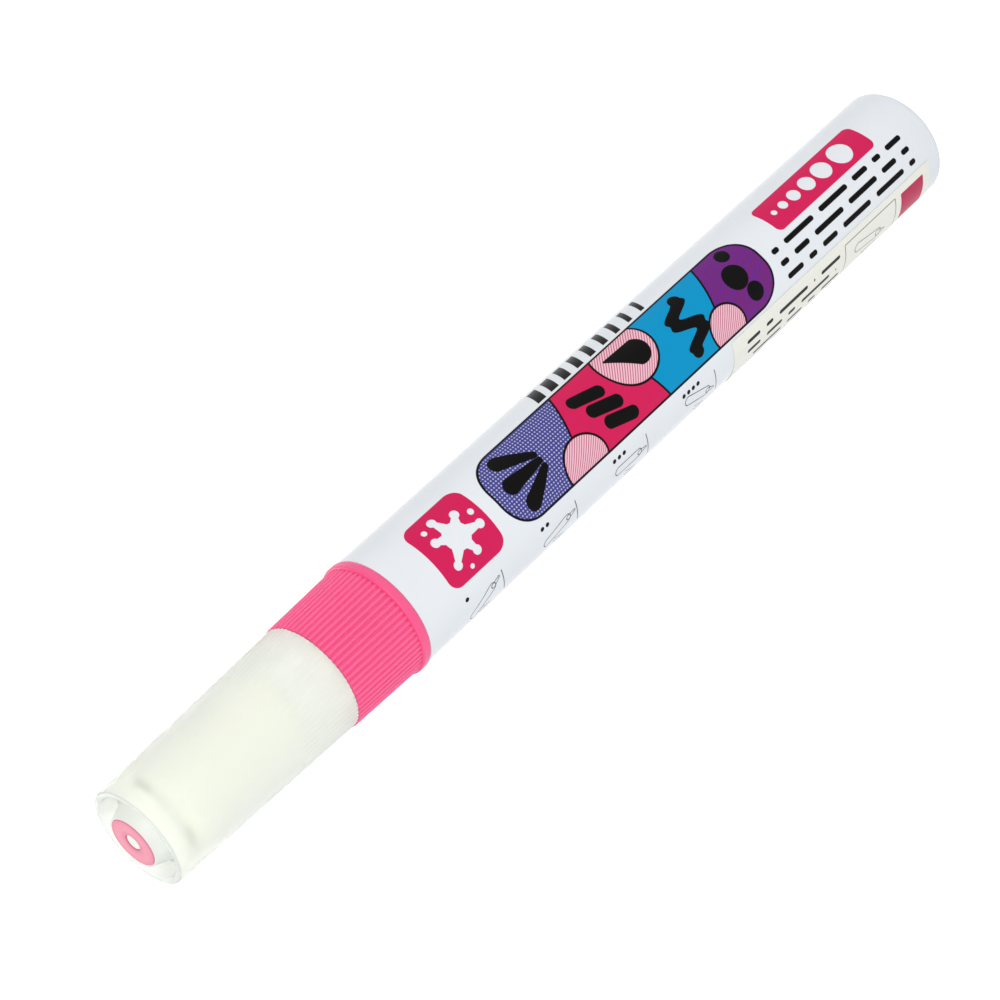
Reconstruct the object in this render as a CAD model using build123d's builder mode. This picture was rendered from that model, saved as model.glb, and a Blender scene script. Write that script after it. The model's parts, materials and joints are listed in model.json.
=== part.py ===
from build123d import *
from math import cos, pi, radians, sin, sqrt
import os

# Valve paint marker with its cap on, standing on its tail. Sizes are in millimetres.
# The origin is the centre of the tail face and +Z runs along the axis towards the cap.

# Barrel: drawn aluminium tube, closed at the tail
barrel_length = 100.0
barrel_diameter = 15.0
barrel_wall = 0.4
barrel_floor = 0.8
tail_round = 0.9

# Film label on the tail half of the barrel, placed by the angle of its first edge from +X
label_low = 3.0
label_height = 41.2
label_thickness = 0.06
label_glue = 0.02
label_start = 113.0
label_arc = 120.0

# Steel mixing ball, loose in the barrel
ball_diameter = 7.0
ball_gap = 0.05

# Front collar: plug in the barrel, smooth flange, ribbed grip
plug_length = 8.0
plug_wall = 1.55
plug_fit = 0.05
flange_proud = 0.12
flange_height = 1.3
flange_round = 0.3
grip_step = 0.27
grip_draft = 0.25
grip_height = 10.1
rib_count = 64
rib_depth = 0.24
rib_share = 0.6
throat_length = 7.4
seat_shoulder = 0.8

# Rubber ring round the plug
seal_inset = 4.0
seal_section = 0.9
seal_gap = 0.02
seal_play = 0.1

# Valve: rubber seat, sprung rod, housing and retainer
seat_thickness = 1.5
seat_land = 1.0
seat_gap = 0.1
flow_gap = 0.6
inner_fit = 0.05
stem_diameter = 3.0
stem_length = 5.6
head_thickness = 2.0
guide_diameter = 2.2
guide_tail = 1.0
guide_fit = 0.1
housing_length = 19.0
housing_wall = 0.8
lip_height = 0.8
lip_depth = 0.6
port_count = 4
port_width = 2.4
port_margin = 1.2
retainer_thickness = 1.6
bush_wall = 0.6
bush_height = 2.0
flow_holes = 6
flow_web = 0.1
spring_wire = 0.5
spring_turns = 8
spring_play = 0.2
spring_seat = 0.03
least_spring_gap = 0.4

# Nib and its holder
nib_diameter = 4.0
nib_fit = 0.08
nib_reach = 5.6
nib_bullet = 4.4
nib_point = 0.9
nib_edge = 0.3
nose_length = 16.0
nose_tip_share = 0.47
nose_chamber_depth = 3.0
nose_rear_gap = 1.0
spigot_length = 6.0
spigot_edge = 0.5
land_length = 5.0
land_share = 0.66
feed_grooves = 4
feed_width = 0.7
feed_depth = 0.5
feed_stop = 1.5

# Cap: drafted shell with a vented end, inner sealing cap, colour ring
cap_length = 27.25
cap_step = 0.12
cap_draft = 0.65
cap_wall = 0.85
cap_fit = 0.08
mouth_gap = 0.1
cap_rib_length = 8.2
cap_rib_depth = 0.1
rim_round = 0.4
rim_edge = 0.2
moat_depth = 2.5
ledge_thickness = 1.0
vent_count = 4
vent_arc = 56.0
vent_share = 0.5
inner_cap_wall = 0.8
inner_cap_fit = 0.08
lip_gap = 0.5
boss_proud = 0.55
boss_step = 0.43
boss_lip = 0.17
press_gap = 0.03
fin_count = 6
fin_thickness = 0.6
fin_inset = 1.0
ring_diameter = 6.2
ring_hole = 2.1
ring_thickness = 0.8
ring_proud = 0.1
ring_edge = 0.08
pip_recess = 0.12
pip_round = 0.15

# Radii that follow, from the barrel inwards
barrel_radius = barrel_diameter / 2
barrel_bore = barrel_radius - barrel_wall
plug_radius = barrel_bore - plug_fit
chamber_radius = plug_radius - plug_wall
throat_radius = chamber_radius - seat_shoulder
flange_radius = barrel_radius + flange_proud
grip_rear = flange_radius - grip_step
grip_front = grip_rear - grip_draft
seal_minor = seal_section / 2
seal_major = barrel_bore - seal_gap - seal_minor
seal_groove = seal_major - seal_minor - seal_gap
label_radius = barrel_radius + label_glue
ball_radius = ball_diameter / 2

# Radii of the valve, from the rod outwards
stem_radius = stem_diameter / 2
guide_radius = guide_diameter / 2
seat_bore = stem_radius + flow_gap
head_radius = seat_bore + seat_land
housing_radius = chamber_radius - inner_fit
housing_bore = housing_radius - housing_wall
lip_radius = housing_bore - lip_depth
retainer_radius = housing_bore - inner_fit
guide_hole = guide_radius + guide_fit
bush_radius = guide_hole + bush_wall
spring_radius = bush_radius + spring_play + spring_wire / 2
spring_outside = spring_radius + spring_wire / 2
flow_circle = (spring_outside + lip_radius) / 2
flow_radius = (lip_radius - spring_outside) / 2 - flow_web

# Radii of the cap: the nose's land and the shell's ledge share the room round the nib
nib_radius = nib_diameter / 2
nib_bore = nib_radius + nib_fit
cap_mouth_radius = grip_front - cap_step
cap_end_bore = cap_mouth_radius - cap_draft - cap_wall
liner_room = inner_cap_fit + inner_cap_wall - boss_step + press_gap
land_radius = nib_bore + land_share * (cap_end_bore - nib_bore - liner_room)
inner_cap_bore = land_radius + inner_cap_fit
inner_cap_radius = inner_cap_bore + inner_cap_wall
boss_base = inner_cap_radius - boss_step
ledge_hole = boss_base + press_gap
vent_circle = (ledge_hole + cap_end_bore) / 2
vent_width = vent_share * (cap_end_bore - ledge_hole)
ring_radius = ring_diameter / 2
ring_bore = ring_hole / 2
ring_seat = ring_radius + press_gap
pip_radius = ring_bore - press_gap
boss_top_radius = ring_seat + boss_lip

# Radii of the nose, between the nib and what the nose goes through
nose_stem = throat_radius - inner_fit
nose_chamber = (nose_stem + nib_bore) / 2
nose_tip = nib_bore + nose_tip_share * (land_radius - nib_bore)

# Heights that follow, from the tail to the end of the cap
plug_rear = barrel_length - plug_length
seal_height = barrel_length - seal_inset
grip_start = barrel_length + flange_height
collar_front = grip_start + grip_height
shoulder = collar_front - throat_length
seat_rear = shoulder - seat_thickness
housing_rear = seat_rear - housing_length
retainer_rear = housing_rear + lip_height
retainer_front = retainer_rear + retainer_thickness
head_front = seat_rear - seat_gap
head_rear = head_front - head_thickness
guide_rear = housing_rear - guide_tail
nib_rear = head_front + stem_length
nose_rear = shoulder + nose_rear_gap
nose_front = collar_front + nose_length
nose_chamber_top = nib_rear + nose_chamber_depth
nib_tip = nose_front + nib_reach
bullet_start = nib_tip - nib_bullet
spigot_top = collar_front + spigot_length
land_top = spigot_top + land_length
cap_mouth = collar_front + mouth_gap
cap_end = cap_mouth + cap_length
cap_rib_end = cap_mouth + cap_rib_length
ledge_top = cap_end - moat_depth
ledge = ledge_top - ledge_thickness
inner_cap_mouth = spigot_top + lip_gap
boss_top = cap_end + boss_proud
ring_top = boss_top + ring_proud
ring_floor = ring_top - ring_thickness
pip_top = ring_top - pip_recess
cavity_end = ring_floor - inner_cap_wall
cavity_shoulder = ledge - inner_cap_wall
cavity_end_radius = boss_top_radius - inner_cap_wall


def cap_outside(height):
    """Outer radius of the drafted cap at a height."""
    return cap_mouth_radius - cap_draft * (height - cap_mouth) / cap_length


def cap_inside(height):
    """Inner radius of the drafted cap at a height."""
    return cap_outside(height) - cap_wall


def on_circle(radius, angle):
    """Point of a circle round the axis, the angle in radians from +X."""
    return (radius * cos(angle), radius * sin(angle))


def ribbed_face(crest, depth):
    """Round face with rounded ribs: one arc over each crest and one through each root."""
    step = 2 * pi / rib_count
    crest_half = step * rib_share / 2
    middle = crest - depth / 2
    with BuildSketch() as face:
        with BuildLine():
            for rib in range(rib_count):
                turn = rib * step
                left = on_circle(middle, turn - crest_half)
                right = on_circle(middle, turn + crest_half)
                following = on_circle(middle, turn + step - crest_half)
                ThreePointArc(left, on_circle(crest, turn), right)
                ThreePointArc(right, on_circle(crest - depth, turn + step / 2), following)
        make_face()
    return face.sketch


def spring_point(turns):
    """Centre of the spring's wire after a number of turns, on a helix of even pitch."""
    low = retainer_front + spring_seat + spring_wire / 2
    high = head_rear - spring_seat - spring_wire / 2
    across = on_circle(spring_radius, 2 * pi * turns)
    return Vector(*across, low + (high - low) * turns / spring_turns)


def spring_direction(turns):
    """Direction of the spring's wire after a number of turns."""
    rise = (spring_point(1) - spring_point(0)).Z
    sideways = on_circle(2 * pi * spring_radius, 2 * pi * turns + pi / 2)
    return Vector(*sideways, rise).normalized()


def middle_of_arcs(start, start_direction, end, end_direction):
    """Point where two equal arcs meet that run from one point and direction to another."""
    span = end - start
    both = start_direction + end_direction
    spread = 2 * (1 - start_direction.dot(end_direction))
    along = span.dot(both)
    reach = (sqrt(along * along + spread * span.dot(span)) - along) / spread
    return (start + start_direction * reach + end - end_direction * reach) / 2


os.makedirs("parts", exist_ok=True)

# Barrel
with BuildPart() as barrel:
    with BuildSketch(Plane.XZ) as barrel_wall_section:
        with BuildLine():
            Polyline(
                (0, 0),
                (barrel_radius, 0),
                (barrel_radius, barrel_length),
                (barrel_bore, barrel_length),
                (barrel_bore, barrel_floor),
                (0, barrel_floor),
                close=True,
            )
        make_face()
        tail_corner = barrel_wall_section.vertices().group_by(Axis.X)[-1].sort_by(Axis.Y)[0]
        fillet(tail_corner, tail_round)
    revolve(axis=Axis.Z)
barrel.part.label = "barrel"
export_step(barrel.part, "parts/barrel.step")

# Film label, bent to the barrel
label_turn = radians(label_start)
label_plane = Plane(
    origin=(0, 0, label_low),
    x_dir=(cos(label_turn), sin(label_turn), 0),
    z_dir=(sin(label_turn), -cos(label_turn), 0),
)
with BuildPart() as instruction_label:
    with BuildSketch(label_plane):
        with Locations((label_radius, 0)):
            Rectangle(label_thickness, label_height, align=(Align.MIN, Align.MIN))
    revolve(axis=Axis.Z, revolution_arc=label_arc)
instruction_label.part.label = "instruction_label"
export_step(instruction_label.part, "parts/instruction_label.step")

# Mixing ball, lying on the barrel's floor
with BuildPart() as mixing_ball:
    with Locations((0, 0, barrel_floor + ball_gap + ball_radius)):
        Sphere(ball_radius)
mixing_ball.part.label = "mixing_ball"
export_step(mixing_ball.part, "parts/mixing_ball.step")

# Front collar: ribbed grip lofted between its two ends, then plug and flange, then the stepped bore
with BuildPart() as front_collar:
    with BuildSketch(Plane.XY.offset(grip_start)):
        add(ribbed_face(grip_rear, rib_depth))
    with BuildSketch(Plane.XY.offset(collar_front)):
        add(ribbed_face(grip_front, rib_depth))
    loft(ruled=True)
    with BuildSketch(Plane.XZ) as flange_section:
        with BuildLine():
            Polyline(
                (0, barrel_length),
                (flange_radius, barrel_length),
                (flange_radius, grip_start),
                (0, grip_start),
                close=True,
            )
        make_face()
        flange_edges = flange_section.vertices().group_by(Axis.X)[-1]
        fillet(flange_edges, flange_round)
    revolve(axis=Axis.Z)
    with BuildSketch(Plane.XZ):
        with BuildLine():
            Polyline(
                (0, plug_rear),
                (plug_radius, plug_rear),
                (plug_radius, seal_height - seal_minor - seal_play),
                (seal_groove, seal_height - seal_minor - seal_play),
                (seal_groove, seal_height + seal_minor + seal_play),
                (plug_radius, seal_height + seal_minor + seal_play),
                (plug_radius, barrel_length),
                (0, barrel_length),
                close=True,
            )
        make_face()
    revolve(axis=Axis.Z)
    with BuildSketch(Plane.XZ):
        with BuildLine():
            Polyline(
                (0, plug_rear),
                (chamber_radius, plug_rear),
                (chamber_radius, shoulder),
                (throat_radius, shoulder),
                (throat_radius, collar_front),
                (0, collar_front),
                close=True,
            )
        make_face()
    revolve(axis=Axis.Z, mode=Mode.SUBTRACT)
front_collar.part.label = "front_collar"
export_step(front_collar.part, "parts/front_collar.step")

# Rubber ring in the plug's groove
with BuildPart() as barrel_seal:
    with Locations((0, 0, seal_height)):
        Torus(seal_major, seal_minor)
barrel_seal.part.label = "barrel_seal"
export_step(barrel_seal.part, "parts/barrel_seal.step")

# Valve seat: rubber washer held against the collar's shoulder
with BuildPart() as valve_seat:
    with BuildSketch(Plane.XY.offset(seat_rear)):
        Circle(housing_radius)
        Circle(seat_bore, mode=Mode.SUBTRACT)
    extrude(amount=seat_thickness)
valve_seat.part.label = "valve_seat"
export_step(valve_seat.part, "parts/valve_seat.step")

# Valve housing: tube with a lip at its rear and side ports between the retainer and the plug
port_height = plug_rear - retainer_front - 2 * port_margin
port_centre = (plug_rear + retainer_front) / 2
with BuildPart() as valve_housing:
    with BuildSketch(Plane.XZ):
        with BuildLine():
            Polyline(
                (lip_radius, housing_rear),
                (housing_radius, housing_rear),
                (housing_radius, seat_rear),
                (housing_bore, seat_rear),
                (housing_bore, retainer_rear),
                (lip_radius, retainer_rear),
                close=True,
            )
        make_face()
    revolve(axis=Axis.Z)
    with Locations((0, 0, port_centre)):
        with PolarLocations((housing_radius + housing_bore) / 2, port_count):
            Box(2 * housing_wall, port_width, port_height, mode=Mode.SUBTRACT)
valve_housing.part.label = "valve_housing"
export_step(valve_housing.part, "parts/valve_housing.step")

# Spring retainer: ported disc with a guide bush for the rod
with BuildPart() as spring_retainer:
    with BuildSketch(Plane.XY.offset(retainer_rear)):
        Circle(retainer_radius)
        with PolarLocations(flow_circle, flow_holes):
            Circle(flow_radius, mode=Mode.SUBTRACT)
    extrude(amount=retainer_thickness)
    with BuildSketch(Plane.XY.offset(retainer_front)):
        Circle(bush_radius)
    extrude(amount=bush_height)
    with BuildSketch(Plane.XY.offset(retainer_rear)):
        Circle(guide_hole)
    extrude(amount=retainer_thickness + bush_height, mode=Mode.SUBTRACT)
spring_retainer.part.label = "spring_retainer"
export_step(spring_retainer.part, "parts/spring_retainer.step")

# Valve rod: guide stem, sealing head, front stem up to the nib
with BuildPart() as valve_rod:
    with BuildSketch(Plane.XZ):
        with BuildLine():
            Polyline(
                (0, guide_rear),
                (guide_radius, guide_rear),
                (guide_radius, head_rear),
                (head_radius, head_rear),
                (head_radius, head_front),
                (stem_radius, head_front),
                (stem_radius, nib_rear),
                (0, nib_rear),
                close=True,
            )
        make_face()
    revolve(axis=Axis.Z)
valve_rod.part.label = "valve_rod"
export_step(valve_rod.part, "parts/valve_rod.step")

# Valve spring: one wire swept along a helix of paired arcs, a quarter turn each
with BuildPart() as valve_spring:
    with BuildLine() as spring_path:
        for quarter in range(4 * spring_turns):
            start, end = spring_point(quarter / 4), spring_point((quarter + 1) / 4)
            leave, arrive = spring_direction(quarter / 4), spring_direction((quarter + 1) / 4)
            meet = middle_of_arcs(start, leave, end, arrive)
            first_arc = TangentArc(start, meet, tangent=leave)
            TangentArc(meet, end, tangent=first_arc % 1)
    with BuildSketch(Plane(origin=spring_point(0), z_dir=spring_direction(0))):
        Circle(spring_wire / 2)
    sweep(path=spring_path.wires()[0])
spring_gap = min(
    (spring_point(turn / 24 + 1) - spring_point(turn / 24 + shift / 24)).length - spring_wire
    for turn in range(24)
    for shift in range(-6, 7)
)
print("valve_spring least gap to itself", round(spring_gap, 3), "mm, wanted over", least_spring_gap)
valve_spring.part.label = "valve_spring"
export_step(valve_spring.part, "parts/valve_spring.step")

# Nib holder: stem in the collar, spigot for the cap, sealing land, tapered nose, bore with feed grooves
with BuildPart() as nib_holder:
    with BuildSketch(Plane.XZ):
        with BuildLine():
            Polyline(
                (nose_chamber, nose_rear),
                (nose_stem, nose_rear),
                (nose_stem, collar_front),
                (cap_inside(collar_front) - cap_fit, collar_front),
                (cap_inside(spigot_top) - cap_fit, spigot_top - spigot_edge),
                (cap_inside(spigot_top) - cap_fit - spigot_edge, spigot_top),
                (land_radius, spigot_top),
                (land_radius, land_top),
                (nose_tip, nose_front),
                (nib_bore, nose_front),
                (nib_bore, nose_chamber_top),
                (nose_chamber, nose_chamber_top),
                close=True,
            )
        make_face()
    revolve(axis=Axis.Z)
    with BuildSketch(Plane.XY.offset(nose_chamber_top)):
        with PolarLocations(nib_bore, feed_grooves):
            Rectangle(2 * feed_depth, feed_width)
    extrude(amount=nose_front - feed_stop - nose_chamber_top, mode=Mode.SUBTRACT)
nib_holder.part.label = "nib_holder"
export_step(nib_holder.part, "parts/nib_holder.step")

# Nib: fibre rod with a bullet tip, whose long flank arc runs into the small round point
point_centre = nib_bullet - nib_point
flank_radius = (nib_radius**2 + point_centre**2 - nib_point**2) / (2 * (nib_radius - nib_point))
towards_point = Vector(flank_radius - nib_radius, point_centre).normalized()
bullet_join = Vector(0, bullet_start + point_centre) + towards_point * nib_point
with BuildPart() as nib:
    with BuildSketch(Plane.XZ):
        with BuildLine():
            Polyline(
                (0, nib_tip),
                (0, nib_rear),
                (nib_radius - nib_edge, nib_rear),
                (nib_radius, nib_rear + nib_edge),
                (nib_radius, bullet_start),
            )
            flank = TangentArc((nib_radius, bullet_start), bullet_join, tangent=(0, 1))
            TangentArc(bullet_join, (0, nib_tip), tangent=flank % 1)
        make_face()
    revolve(axis=Axis.Z)
nib.part.label = "nib"
export_step(nib.part, "parts/nib.step")

# Cap shell: ribbed skirt lofted at the mouth, smooth drafted body, vented ledge deep in the end
with BuildPart() as cap_shell:
    with BuildSketch(Plane.XY.offset(cap_mouth)):
        add(ribbed_face(cap_outside(cap_mouth), cap_rib_depth))
    with BuildSketch(Plane.XY.offset(cap_rib_end)):
        add(ribbed_face(cap_outside(cap_rib_end), cap_rib_depth))
    loft(ruled=True)
    with BuildSketch(Plane.XZ) as cap_section:
        with BuildLine():
            Polyline(
                (0, cap_rib_end),
                (cap_outside(cap_rib_end), cap_rib_end),
                (cap_outside(cap_end), cap_end),
                (cap_inside(cap_end), cap_end),
                (cap_inside(cap_end), ledge_top),
                (0, ledge_top),
                close=True,
            )
        make_face()
        rim_inside = cap_section.vertices().group_by(Axis.Y)[-1].sort_by(Axis.X)[0]
        fillet(rim_inside, rim_edge)
        rim_outside = cap_section.vertices().group_by(Axis.Y)[-1].sort_by(Axis.X)[-1]
        fillet(rim_outside, rim_round)
    revolve(axis=Axis.Z)
    with BuildSketch(Plane.XZ):
        with BuildLine():
            Polyline(
                (0, cap_mouth),
                (cap_inside(cap_mouth), cap_mouth),
                (cap_inside(ledge), ledge),
                (ledge_hole, ledge),
                (ledge_hole, ledge_top),
                (0, ledge_top),
                close=True,
            )
        make_face()
    revolve(axis=Axis.Z, mode=Mode.SUBTRACT)
    with BuildSketch(Plane.XY.offset(ledge)):
        for vent in range(vent_count):
            vent_turn = vent * 360 / vent_count - vent_arc / 2
            SlotArc(CenterArc((0, 0), vent_circle, vent_turn, vent_arc, mode=Mode.PRIVATE), vent_width)
    extrude(amount=ledge_thickness, mode=Mode.SUBTRACT)
cap_shell.part.label = "cap_shell"
export_step(cap_shell.part, "parts/cap_shell.step")

# Inner cap: centring fins trimmed to the shell, liner tube, end boss with the ring's seat and pip
with BuildPart() as inner_cap:
    fin_low = inner_cap_mouth + fin_inset
    fin_high = ledge - fin_inset
    with BuildSketch(Plane.XZ):
        with BuildLine():
            Polyline(
                (0, fin_low),
                (cap_inside(fin_low) - press_gap, fin_low),
                (cap_inside(fin_high) - press_gap, fin_high),
                (0, fin_high),
                close=True,
            )
        make_face()
    revolve(axis=Axis.Z)
    with BuildSketch(Plane.XY.offset(fin_low)):
        with PolarLocations(cap_mouth_radius / 2, fin_count):
            Rectangle(cap_mouth_radius, fin_thickness)
    extrude(amount=fin_high - fin_low, mode=Mode.INTERSECT)
    with BuildSketch(Plane.XZ):
        with BuildLine():
            Polyline(
                (0, inner_cap_mouth),
                (inner_cap_radius, inner_cap_mouth),
                (inner_cap_radius, ledge),
                (boss_base, ledge),
                (boss_base, ledge_top),
                (boss_top_radius, boss_top),
                (ring_seat, boss_top),
                (ring_seat, ring_floor),
                (0, ring_floor),
                close=True,
            )
        make_face()
    revolve(axis=Axis.Z)
    with BuildSketch(Plane.XZ) as pip_section:
        with BuildLine():
            Polyline(
                (0, ring_floor),
                (pip_radius, ring_floor),
                (pip_radius, pip_top),
                (0, pip_top),
                close=True,
            )
        make_face()
        pip_corner = pip_section.vertices().group_by(Axis.X)[-1].sort_by(Axis.Y)[-1]
        fillet(pip_corner, pip_round)
    revolve(axis=Axis.Z)
    with BuildSketch(Plane.XZ):
        with BuildLine():
            Polyline(
                (0, inner_cap_mouth),
                (inner_cap_bore, inner_cap_mouth),
                (inner_cap_bore, cavity_shoulder),
                (cavity_end_radius, cavity_end),
                (0, cavity_end),
                close=True,
            )
        make_face()
    revolve(axis=Axis.Z, mode=Mode.SUBTRACT)
inner_cap.part.label = "inner_cap"
export_step(inner_cap.part, "parts/inner_cap.step")

# Colour ring in the boss
with BuildPart() as cap_colour_ring:
    with BuildSketch(Plane.XY.offset(ring_floor)):
        Circle(ring_radius)
        Circle(ring_bore, mode=Mode.SUBTRACT)
    extrude(amount=ring_thickness)
    ring_face_edges = cap_colour_ring.edges().group_by(Axis.Z)[-1]
    chamfer(ring_face_edges, ring_edge)
cap_colour_ring.part.label = "cap_colour_ring"
export_step(cap_colour_ring.part, "parts/cap_colour_ring.step")
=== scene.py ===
# %% [markdown]
# # Dressing a paint marker
#
# The solids of the marker come from its CAD model, in metres and in their real places.
# This lesson gives every one of them its finish: printed lacquer on the barrel, ribbed pink
# plastic on the collar, a milky cap, a film label, a fibre nib and the parts of the valve.
# The solids could be modelled again here, but their fits and joints are set in the CAD model,
# so they stay where they are and only their surfaces are worked on.

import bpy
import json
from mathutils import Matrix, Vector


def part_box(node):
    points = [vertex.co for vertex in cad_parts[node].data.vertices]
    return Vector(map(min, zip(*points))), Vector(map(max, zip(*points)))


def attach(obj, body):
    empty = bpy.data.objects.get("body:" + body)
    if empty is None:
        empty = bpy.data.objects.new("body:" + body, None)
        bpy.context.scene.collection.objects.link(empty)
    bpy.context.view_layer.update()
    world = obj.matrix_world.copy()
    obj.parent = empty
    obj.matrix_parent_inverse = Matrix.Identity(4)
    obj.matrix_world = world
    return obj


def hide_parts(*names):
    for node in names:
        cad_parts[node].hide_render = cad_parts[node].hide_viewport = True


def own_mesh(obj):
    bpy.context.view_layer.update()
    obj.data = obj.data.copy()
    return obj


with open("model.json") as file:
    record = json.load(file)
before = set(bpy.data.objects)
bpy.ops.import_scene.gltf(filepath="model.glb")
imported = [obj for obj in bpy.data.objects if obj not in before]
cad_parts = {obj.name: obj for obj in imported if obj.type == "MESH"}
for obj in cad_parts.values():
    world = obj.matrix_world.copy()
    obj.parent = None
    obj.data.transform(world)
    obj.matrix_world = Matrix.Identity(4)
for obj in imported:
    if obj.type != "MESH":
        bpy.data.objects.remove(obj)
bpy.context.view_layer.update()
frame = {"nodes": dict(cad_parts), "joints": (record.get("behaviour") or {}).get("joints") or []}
nodes = frame["nodes"]
print("nodes:", ", ".join(sorted(nodes)))

# %% [markdown]
# ## Sizes from the frame
#
# Print and wear have to sit on the real surfaces. Their places could be typed in, but then
# they would slip when the CAD model changes. So the sizes that they follow are read from the
# frame, and are turned into millimetres, which suit an object as small as a pen.

# %% Measure a round piece
import bpy
import json
from functools import reduce
from math import cos, pi, radians, sin
from mathutils import Matrix, Vector
from operator import and_, or_

MM = 0.001


def reach(node):
    """Radius, lowest and highest point of a round node, in millimetres."""
    low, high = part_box(node)
    return high.x / MM, low.z / MM, high.z / MM


barrel_radius, _, barrel_mouth = reach("barrel")
print("barrel radius", round(barrel_radius, 2), "mm, mouth", round(barrel_mouth, 1), "mm above the tail")

# %% [markdown]
# ## Shader maths as Python
#
# A printed barrel needs a lot of arithmetic in its shader. The print could be an image, but an
# image has pixels and nodes have none. Adding each Math node by hand is hard to read, so one
# small class wraps a socket, and adding or multiplying two of its wires adds the Math node.
# Any other node comes from one method, which takes its type, its settings and its sockets.


# %% A wire between shader nodes
def plug(value, socket):
    """Leads a wire to a socket, or sets a plain value on the socket itself."""
    if isinstance(value, Wire):
        value.tree.links.new(value.socket, socket)
    else:
        socket.default_value = value


class Wire:
    """A value that comes out of a shader node. Arithmetic on wires adds Math nodes."""

    def __init__(self, tree, socket=None):
        self.tree = tree
        self.socket = socket

    def node(self, kind, settings=None, sockets=None, output=0):
        """Adds a node: its settings first, then the values or wires of its sockets."""
        made = self.tree.nodes.new(kind)
        for name, value in (settings or {}).items():
            setattr(made, name, value)
        for name, value in (sockets or {}).items():
            plug(value, made.inputs[name])
        return Wire(self.tree, made.outputs[output])

    def maths(self, operation, *values, clamp=False):
        settings = {"operation": operation, "use_clamp": clamp}
        return self.node("ShaderNodeMath", settings, dict(enumerate(values)))

    def vector(self, operation, *values, output=0):
        settings = {"operation": operation}
        return self.node("ShaderNodeVectorMath", settings, dict(enumerate(values)), output)

    def scaled(self, factor):
        return self.node("ShaderNodeVectorMath", {"operation": "SCALE"}, {0: self, 3: factor})

    def __add__(self, other):
        return self.maths("ADD", self, other)

    def __sub__(self, other):
        return self.maths("SUBTRACT", self, other)

    def __rsub__(self, other):
        return self.maths("SUBTRACT", other, self)

    def __mul__(self, other):
        return self.maths("MULTIPLY", self, other)

    def __truediv__(self, other):
        return self.maths("DIVIDE", self, other)

    def __rtruediv__(self, other):
        return self.maths("DIVIDE", other, self)

    def __neg__(self):
        return self.maths("MULTIPLY", self, -1)

    def __abs__(self):
        return self.maths("ABSOLUTE", self)

    def __and__(self, other):
        return self.maths("MINIMUM", self, other)

    def __or__(self, other):
        return self.maths("MAXIMUM", self, other)

    __radd__ = __add__
    __rmul__ = __mul__
    __rand__ = __and__
    __ror__ = __or__


print("a wire takes + - * / and abs, & for the lower of two values and | for the higher")

# %% [markdown]
# ## Colours, noise and bumps
#
# Colours are easiest to judge as screen values, from 0 to 255, but shaders work with amounts
# of light, so one helper turns the first into the second. The others mix, fade and roughen.
# They could be node groups, but plain functions are shorter and show their sizes in millimetres.


# %% Helpers that every finish uses
def paint(red, green, blue):
    """Linear colour from screen values of 0 to 255."""
    shares = [value / 255 for value in (red, green, blue)]
    linear = [s / 12.92 if s <= 0.04045 else ((s + 0.055) / 1.055) ** 2.4 for s in shares]
    return (*linear, 1.0)


def tint(mask, under, over):
    """Colour that goes from one to another as the mask goes from 0 to 1."""
    return mask.node("ShaderNodeMix", {"data_type": "RGBA"}, {0: mask, 6: under, 7: over}, 2)


def blended(mask, low, high):
    """Value that goes from one number to another as the mask goes from 0 to 1."""
    return mask * (high - low) + low


def noise(place, size, detail=2.0, rough=0.5):
    """Cloudy noise from 0 to 1, whose blotches are about this many millimetres wide."""
    sockets = {"Vector": place, "Scale": 1 / size, "Detail": detail, "Roughness": rough}
    return place.node("ShaderNodeTexNoise", None, sockets)


def ramp(value, low, high):
    """0 below the low value, 1 above the high one and smooth between them."""
    sockets = {"Value": value, "From Min": low, "From Max": high}
    return value.node("ShaderNodeMapRange", {"interpolation_type": "SMOOTHSTEP"}, sockets)


def stretched(place, along):
    """The place, scaled along the axis: noise on it runs in streaks below 1, in rings above 1."""
    return place.vector("MULTIPLY", place, (1, 1, along))


def bumped(height, depth, under=None):
    """Normal of a surface that a height from 0 to 1 raises by this many millimetres."""
    sockets = {"Distance": depth * MM, "Height": height}
    if under is not None:
        sockets["Normal"] = under
    return height.node("ShaderNodeBump", None, sockets)


print("screen grey of 128 is", round(paint(128, 128, 128)[0], 3), "of full light")

# %% [markdown]
# ## One finish for each slot
#
# The CAD model names a material slot for every piece. A finish could be made node by node, but
# all of them start alike: a Principled shader, and the place on the object in millimetres. So
# one helper takes a recipe and dresses every piece of a slot. The place comes from object
# coordinates, because they travel with a piece when its joint moves.


# %% Dress the pieces of a slot
def dress(slot, recipe):
    """Makes a slot's finish from a recipe of shader sockets, and puts it on the slot's nodes."""
    finish = bpy.data.materials.new("finish_" + slot)
    finish.use_nodes = True
    place = Wire(finish.node_tree).node("ShaderNodeTexCoord", output="Object").scaled(1 / MM)
    shader = finish.node_tree.nodes["Principled BSDF"]
    for socket, value in recipe(place).items():
        plug(value, shader.inputs[socket])
    dressed = [n for n, o in nodes.items() if o.material_slots[0].name == slot]
    for name in dressed:
        nodes[name].material_slots[0].material = finish
    print(slot, "on", ", ".join(sorted(dressed)), "with", len(finish.node_tree.nodes), "nodes")
    return finish


print("slots:", ", ".join(sorted({o.material_slots[0].name for o in nodes.values()})))

# %% [markdown]
# ## The printed sheet
#
# Print goes on flat and is then rolled round the barrel. An unwrapped mesh could carry it, but
# the CAD mesh stays as it is, so the shader does the unrolling: the angle round the axis, times
# the radius, is the way across the sheet, and the height is the way along it.


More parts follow.
